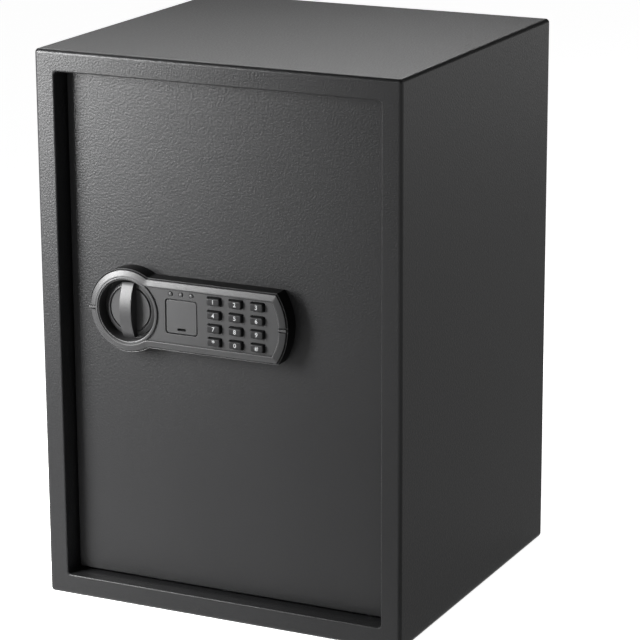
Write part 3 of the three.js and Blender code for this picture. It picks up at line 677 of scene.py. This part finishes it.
def bezel_skirt():
    """The bezel's side wall, given a darker and duller copy of the plastic as painted shade, and its
    sloped, crested rim, with a notch at each end.

    A profile point is its inset from the outline and its depth behind the cabinet's front.
    """
    edge = [(0, 3.3), (0.1, 2.9), (0.35, 2.7), (0.6, 2.8)]
    groove = [(0.7, 4.4), (1.3, 4.4), (1.4, 2.2)]
    slope = [(1.5, 1.75), (1.8, 1.45), (3.9, 0.75), (5.8, 0.2)]
    crest = [(6.4, CREST), (7.0, CREST), (7.4, 0.2), (7.7, 0.6), (RIM, SUNK + 0.3)]
    profile = [(inset, FRONT + depth) for inset, depth in edge + groove + slope + crest]
    profile = [(0, BEZEL[3]), *profile, (RIM, BEZEL[3])]
    loops = [[(x, y, z) for x, z in bezel_outline(inset)] for inset, y in profile]
    skirt = loft("bezel_moulding", loops, PLASTIC)
    notch_floor = FRONT + NOTCH_DEPTH
    half = 2.1
    ends = ((BEZEL[0] - 1, KNOB_X - WELL - 3.2), (BEZEL[1] - RIM - 1, BEZEL[1] + 1))
    notches = [
        slab("notch", [rounded(x0, x1, MID - half, MID + half, 0.3, 2)], FRONT - 1, notch_floor, PLASTIC)
        for x0, x1 in ends
    ]
    skirt = carve(skirt, *notches)
    # The side walls behind the notch floor take the darker copy of the plastic: painted shade.
    skirt.data.materials.append(SKIRT_PAINTED_SHADE)
    for polygon in skirt.data.polygons:
        is_wall = abs(polygon.normal.y) < 0.1
        if is_wall and polygon.center.y > mm(notch_floor):
            polygon.material_index = 1
    return skirt


def end_ribs():
    """The raised bar in each of the bezel's end notches."""
    half = 1.0
    top = FRONT + 0.1
    ends = ((BEZEL[0] + 0.3, KNOB_X - WELL - 1.0), (BEZEL[1] - RIM + 0.3, BEZEL[1] - 0.3))
    return [
        slab("rib", [rounded(x0, x1, MID - half, MID + half, 0.4, 3)], top, FRONT + 6, PLASTIC, 0.35)
        for x0, x1 in ends
    ]


def well_pieces():
    """The collar round the knob's well, and the well's floor.

    A profile point is its radius beyond the well's and its depth behind the cabinet's front.
    """
    floor_back = WELL_DEPTH + 1.5
    lip = WELL_LIP - WELL
    top = CREST - 0.02
    inside = [(0, floor_back), (0, 1.3), (0.15, 1.0), (0.5, 0.85), (0.9, 0.8), (1.1, 0.35)]
    outside = [(1.5, top), (lip - 0.8, top), (lip - 0.25, 0.25), (lip, 0.7), (lip, floor_back)]
    profile = [(WELL + out, FRONT + depth) for out, depth in inside + outside]
    collar = turned("collar", (KNOB_X, MID), profile, PLASTIC, sides=112)
    disc = [circle(KNOB_X, MID, WELL + 0.5, 96), circle(KNOB_X, MID, 5.6)]
    well = slab("well", disc, FRONT + WELL_DEPTH, FRONT + floor_back, PLASTIC, 0.1)
    return [collar, well]


def panel_pieces():
    """The sunk panel with its holes, and the tray behind it that holds the key lock's cover."""
    pocket = (LID[1] - LID[0]) / 2 + 0.75
    square = rounded(LOCK_X - pocket, LOCK_X + pocket, LOCK_Z - pocket, LOCK_Z + pocket, 2.8)
    key_holes = [rounded(*key_box(name, 0.6), 1.3, 5) for name in KEYS]
    lamp_holes = [circle(*centre(lamp), 2.25, 28) for lamp in LAMPS]
    outline = panel_outline(RIM - 0.4, WELL_LIP - 0.3)
    holes = [square, *key_holes, *lamp_holes]
    panel = slab("panel", [outline, *holes], PANEL_FACE, PANEL_FACE + SKIN, PLASTIC, 0.3)
    wall = pocket + 2
    tray = rounded(LOCK_X - wall, LOCK_X + wall, LOCK_Z - wall + 0.5, LOCK_Z + wall - 0.6, 3)
    lock_hole = circle(LOCK_X, LOCK_Z, LOCK_HOLE)
    bowl = slab("bowl", [tray, square], PANEL_FACE + 1.2, FRONT + 9.5, PLASTIC, 0.1)
    base = slab("base", [tray, lock_hole], FRONT + 7.5, FRONT + 9.4, PLASTIC, 0.1)
    return [panel, bowl, base]


def bezel_moulding():
    """The whole bezel as one piece."""
    skirt = bezel_skirt()
    return join("bezel_moulding", skirt, *well_pieces(), *panel_pieces(), *end_ribs())


def lamp_lens(node):
    """A lamp's domed lens, with a collar behind the panel."""
    y0, y1 = span(node)[2:4]
    radius = 2.0
    height = 1.0
    collar = 2.5
    dome = [(radius * math.sin(a), y0 + height * (1 - math.cos(a))) for a in quarter(6)]
    profile = [*dome, (radius, y1 - 1), (collar, y1 - 1), (collar, y1), (0, y1)]
    return turned(node + "_lens", centre(node), profile, LENS, sides=40)


def knob_dial():
    """The knob's dial, with a bevelled rim and a round groove."""
    face = FRONT + DIAL_DEPTH
    back = KNOB[3]
    r = (KNOB[1] - KNOB[0]) / 2
    bore = 5.3
    wall = [(bore, back), (r - 0.3, back), (r, back - 0.4), (r, face + 2.4)]
    rim = [(r - 0.15, face + 2.0), (r - 0.5, face + 1.7), (21.6, face + 0.3), (21.1, face + 0.2)]
    groove = [(20.8, face + 0.35), (20.7, face + 1.6), (19.6, face + 1.6), (19.5, face + 0.25)]
    disc = [(19.2, face), (bore, face)]
    return turned("knob_moulding", (KNOB_X, MID), wall + rim + groove + disc, PLASTIC, sides=112)


def knob_grip():
    """The knob's grip: a chamfered bar whose crest bows back towards both ends.

    bow is how far it does so, and sink how much further at the lower end.
    """
    root = FRONT + DIAL_DEPTH + 1
    crest = KNOB[2]
    half = (KNOB[5] - KNOB[4]) / 2
    bow = 6
    end = 1.6
    sink = 0.15
    shoulder = crest + bow + 1.5
    half_width = 6
    steps = 24
    side = [
        (root, MID + half - 0.2),
        (root, MID - half + 0.2),
        (shoulder, MID - half + 0.1),
        (crest + bow + sink, MID - (half - end)),
    ]
    for i in range(1, steps + 1):
        t = -1 + 2 * i / steps
        side.append((crest + bow * t * t, MID + (half - end) * t))
    side.append((shoulder, MID + half - 0.1))
    low = KNOB_X - half_width
    high = KNOB_X + half_width
    return slab("grip", [side], low, high, PLASTIC, 0.75, along="x", rounds=4)


def knob_moulding():
    """The whole knob as one piece."""
    return join("knob_moulding", knob_dial(), knob_grip())


def lock_lid():
    """The square lid over the key lock, with softly rounded edges, a finger slot and two clips."""
    x0, x1, y0, y1, z0, z1 = LID
    lid = slab("lock_lid", [rounded(x0, x1, z0, z1, 2.4)], y0, y0 + 2, LID_PLASTIC, 0.45, rounds=4)
    slot_half = 4.2
    slot = rounded(LOCK_X - slot_half, LOCK_X + slot_half, z0 + 2.6, z0 + 4.9, 1.1, 5)
    lid = carve(lid, slab("slot", [slot], y0 - 1, y0 + 2.6, LID_PLASTIC))
    clip_place = (x1 - x0) / 2 - 1.6
    clip_half_width = 2
    clip_half = 0.7
    clips = []
    for z in (LOCK_Z - clip_place, LOCK_Z + clip_place):
        clip = rounded(
            LOCK_X - clip_half_width, LOCK_X + clip_half_width, z - clip_half, z + clip_half, 0.2, 2
        )
        clips.append(slab("clip", [clip], y0 + 1.6, y1, LID_PLASTIC, 0.18))
    return join("lock_lid", lid, *clips)


def keycap(name):
    """A rubber key with a drafted, rounded face and the flange that keeps it in the panel.

    A profile point is its inset from the key's face and its depth.
    """
    y0, y1 = span(f"key_{name}")[2:4]
    x0, x1, z0, z1 = key_box(name)
    flange = y1 - 1
    draft = 0.35
    side = [(0, flange + 0.3), (0, PANEL_FACE), (draft * 0.5, y0 + 1.4), (draft, y0 + 0.8)]
    edge = [(draft + 0.1, y0 + 0.4), (draft + 0.35, y0 + 0.15), (draft + 0.8, y0 + 0.04), (draft + 1.6, y0)]
    loops = []
    for inset, y in side + edge:
        corner = max(1.5 - inset * 0.4, 0.5)
        outline = rounded(x0 + inset, x1 - inset, z0 + inset, z1 - inset, corner, 6)
        loops.append([(x, y, z) for x, z in outline])
    cap = loft(f"keycap_{name}", loops, RUBBER, closed=False, angle=50)
    hem_outline = rounded(x0 - FLANGE, x1 + FLANGE, z0 - FLANGE, z1 + FLANGE, 1, 3)
    hem = slab("hem", [hem_outline], flange, y1, RUBBER, 0.15)
    return join(f"keycap_{name}", cap, hem)


def legend(name):
    """The printed digit or sign on a key, a thin raised layer of ink."""
    x, z = centre(f"key_{name}")
    y0 = span(f"key_{name}")[2]
    text = bpy.data.curves.new(f"legend_{name}", "FONT")
    text.body = LEGENDS.get(name, name)
    text.size = mm(STAR_SIZE if name == "star" else LEGEND_SIZE)
    text.extrude = mm(0.03)
    text.offset = mm(0.07)
    text.align_x = "CENTER"
    text.align_y = "CENTER"
    mesh = curve_mesh(f"legend_{name}", text)
    turn = AXES["y"][1]
    mesh.transform(Matrix.Translation(mm(x, y0, z)) @ turn)
    return tidy(linked(f"legend_{name}", mesh), LEGEND)


# ---------------------------------------------------------------- carried-over CAD nodes

KEPT = {
    "hinge_socket_upper": ZINC,
    "hinge_socket_lower": ZINC,
    "shelf_rail_left": POWDER,
    "shelf_rail_right": POWDER,
    "bolt_housing": POWDER,
    "hinge_bracket_upper": POWDER,
    "hinge_bracket_lower": POWDER,
    "hinge_pin_upper": ZINC,
    "hinge_pin_lower": ZINC,
    "bolt_carriage": ZINC,
    "carriage_guide_upper": ZINC,
    "carriage_guide_lower": ZINC,
    "crank_spindle": ZINC,
    "spindle_bush": BRASS,
    "solenoid_body": COIL,
    "solenoid_plunger": ZINC,
    "plunger_spring": CHROME,
    "key_lock_housing": CHROME,
    "key_lock_plug": BRASS,
    "override_lever": ZINC,
    "keypad_board": BOARD,
    "battery_tray": CASE,
    "control_board": BOARD,
    "keypad_cable": CABLE,
}


def keep(node, material):
    """Gives a CAD node its material, merges its seams and rounds its edges a little."""
    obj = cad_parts[node]
    for slot in obj.material_slots:
        slot.material = material
    weld = obj.modifiers.new("weld", "WELD")
    weld.merge_threshold = mm(0.005)
    bevel = obj.modifiers.new("edges", "BEVEL")
    bevel.width = mm(0.25)
    bevel.segments = 2
    bevel.limit_method = "ANGLE"
    bevel.angle_limit = math.radians(40)
    even_shading(obj)


# ---------------------------------------------------------------- camera, light and floor

def camera():
    """The camera, a little above the cabinet and to the right of its front."""
    azimuth = math.radians(25.97)
    elevation = math.radians(15.56)
    roll = math.radians(-0.26)
    place = mm(1131.1, -2282.0, 944.2)
    back = Vector((
        math.sin(azimuth) * math.cos(elevation),
        -math.cos(azimuth) * math.cos(elevation),
        math.sin(elevation),
    ))
    level = (-back).cross(Vector((0, 0, 1))).normalized()
    upright = level.cross(-back)
    right = math.cos(roll) * level + math.sin(roll) * upright
    up = -math.sin(roll) * level + math.cos(roll) * upright
    data = bpy.data.cameras.new("camera")
    data.lens = 162.85
    data.sensor_width = 36
    data.clip_end = 50
    obj = linked("camera", data)
    turn = Matrix((right, up, back)).transposed().to_4x4()
    obj.matrix_world = Matrix.Translation(place) @ turn
    bpy.context.scene.camera = obj


def softbox(name, place, aim, width, height, power, spread=180):
    """A rectangular area light at a place in metres, turned to face a point and itself unseen.

    spread is the angle in degrees that the grid on its front lets the light out in.
    """
    data = bpy.data.lights.new(name, "AREA")
    data.shape = "RECTANGLE"
    data.size = width
    data.size_y = height
    data.energy = power
    data.spread = math.radians(spread)
    obj = linked(name, data)
    obj.visible_camera = False
    obj.location = place
    obj.rotation_euler = (Vector(aim) - Vector(place)).to_track_quat("-Z", "Y").to_euler()


def studio():
    """A dim white world and four softboxes."""
    world = bpy.data.worlds.new("studio")
    world.use_nodes = True
    background = world.node_tree.nodes["Background"]
    background.inputs["Color"].default_value = (1, 1, 1, 1)
    background.inputs["Strength"].default_value = 0.09
    bpy.context.scene.world = world
    bpy.context.scene.view_settings.view_transform = "Standard"
    softbox("key", place=(-0.6, -0.65, 0.52), aim=(-0.3, -0.16, 0.32),
            width=0.35, height=0.5, power=10, spread=75)
    softbox("top", place=(-0.42, 0.64, 1.0), aim=(0, 0, 0.5), width=0.9, height=0.25, power=4.5)
    softbox("fill", place=(0.1, -2.2, 1.0), aim=(0, 0, 0.25), width=0.8, height=0.8, power=9)
    softbox("side", place=(2.1, 0.9, 0.9), aim=(0.17, 0, 0.3), width=0.8, height=0.8, power=12)


def level_sheet(name, near, far, height):
    """A level matt rectangle in metres, from its near left corner to its far right one."""
    material, shader = new_material(name)
    shader.inputs["Specular IOR Level"].default_value = 0
    x0, y0 = near
    x1, y1 = far
    corners = [(x0, y0, height), (x1, y0, height), (x1, y1, height), (x0, y1, height)]
    mesh = bpy.data.meshes.new(name)
    mesh.from_pydata(corners, [], [(0, 1, 2, 3)])
    mesh.materials.append(material)
    obj = linked(name, mesh)
    return obj, shader


def floor():
    """A pale floor that glows, so that it stays white."""
    _, shader = level_sheet("studio_floor", near=(-30, -30), far=(30, 30), height=0)
    shader.inputs["Base Color"].default_value = (0.8, 0.8, 0.8, 1)
    shader.inputs["Emission Color"].default_value = (1, 1, 1, 1)
    shader.inputs["Emission Strength"].default_value = 0.9


def smoked_card():
    """A smoked sheet beside the right side, which shows only as a darker reflection in it."""
    card, shader = level_sheet("smoked_card", near=(0.176, -0.4), far=(1.2, 2.2), height=0.002)
    shader.inputs["Base Color"].default_value = (0, 0, 0, 1)
    shader.inputs["Alpha"].default_value = 0.65
    card.visible_camera = False
    card.visible_diffuse = False
    card.visible_shadow = False


# ---------------------------------------------------------------- assembly

camera()
studio()
floor()
smoked_card()

fit(cabinet_shell(), "cabinet", "powder_coat", "body_shell")
fit(rear_panel(), "cabinet", "powder_coat", "back_panel")
fit(felt_mat(), "cabinet", "mat_felt", "floor_mat")
fit(shelf_board(), "shelf", "powder_coat", "shelf")

fit(door_leaf(), "door", "powder_coat", "door_plate")
fit(inner_cover(), "door", "powder_coat", "housing_cover")
for screw in SCREWS:
    fit(pan_screw(screw), "door", "zinc_steel", screw)
fit(battery_lid(), "battery_door", "battery_plastic", "battery_door")
fit(reset_knob(), "reset_button", "reset_red", "reset_button")
for bolt in BOLTS:
    fit(bolt_bar(bolt), "bolt_carriage", "chrome", bolt)
for battery in CELLS:
    fit(cell(battery), "door", "cell_sleeve", battery)

fit(bezel_moulding(), "door", "bezel_plastic", "keypad_bezel")
fit(knob_moulding(), "knob", "bezel_plastic", "knob")
fit(lock_lid(), "key_cover", "bezel_plastic", "key_cover")
for lamp in LAMPS:
    fit(lamp_lens(lamp), "door", "indicator_lens", lamp)
for key in KEYS:
    fit(keycap(key), f"key_{key}", "key_rubber", f"key_{key}")
    fit(legend(key), f"key_{key}", "key_rubber")

for node, material in KEPT.items():
    keep(node, material)
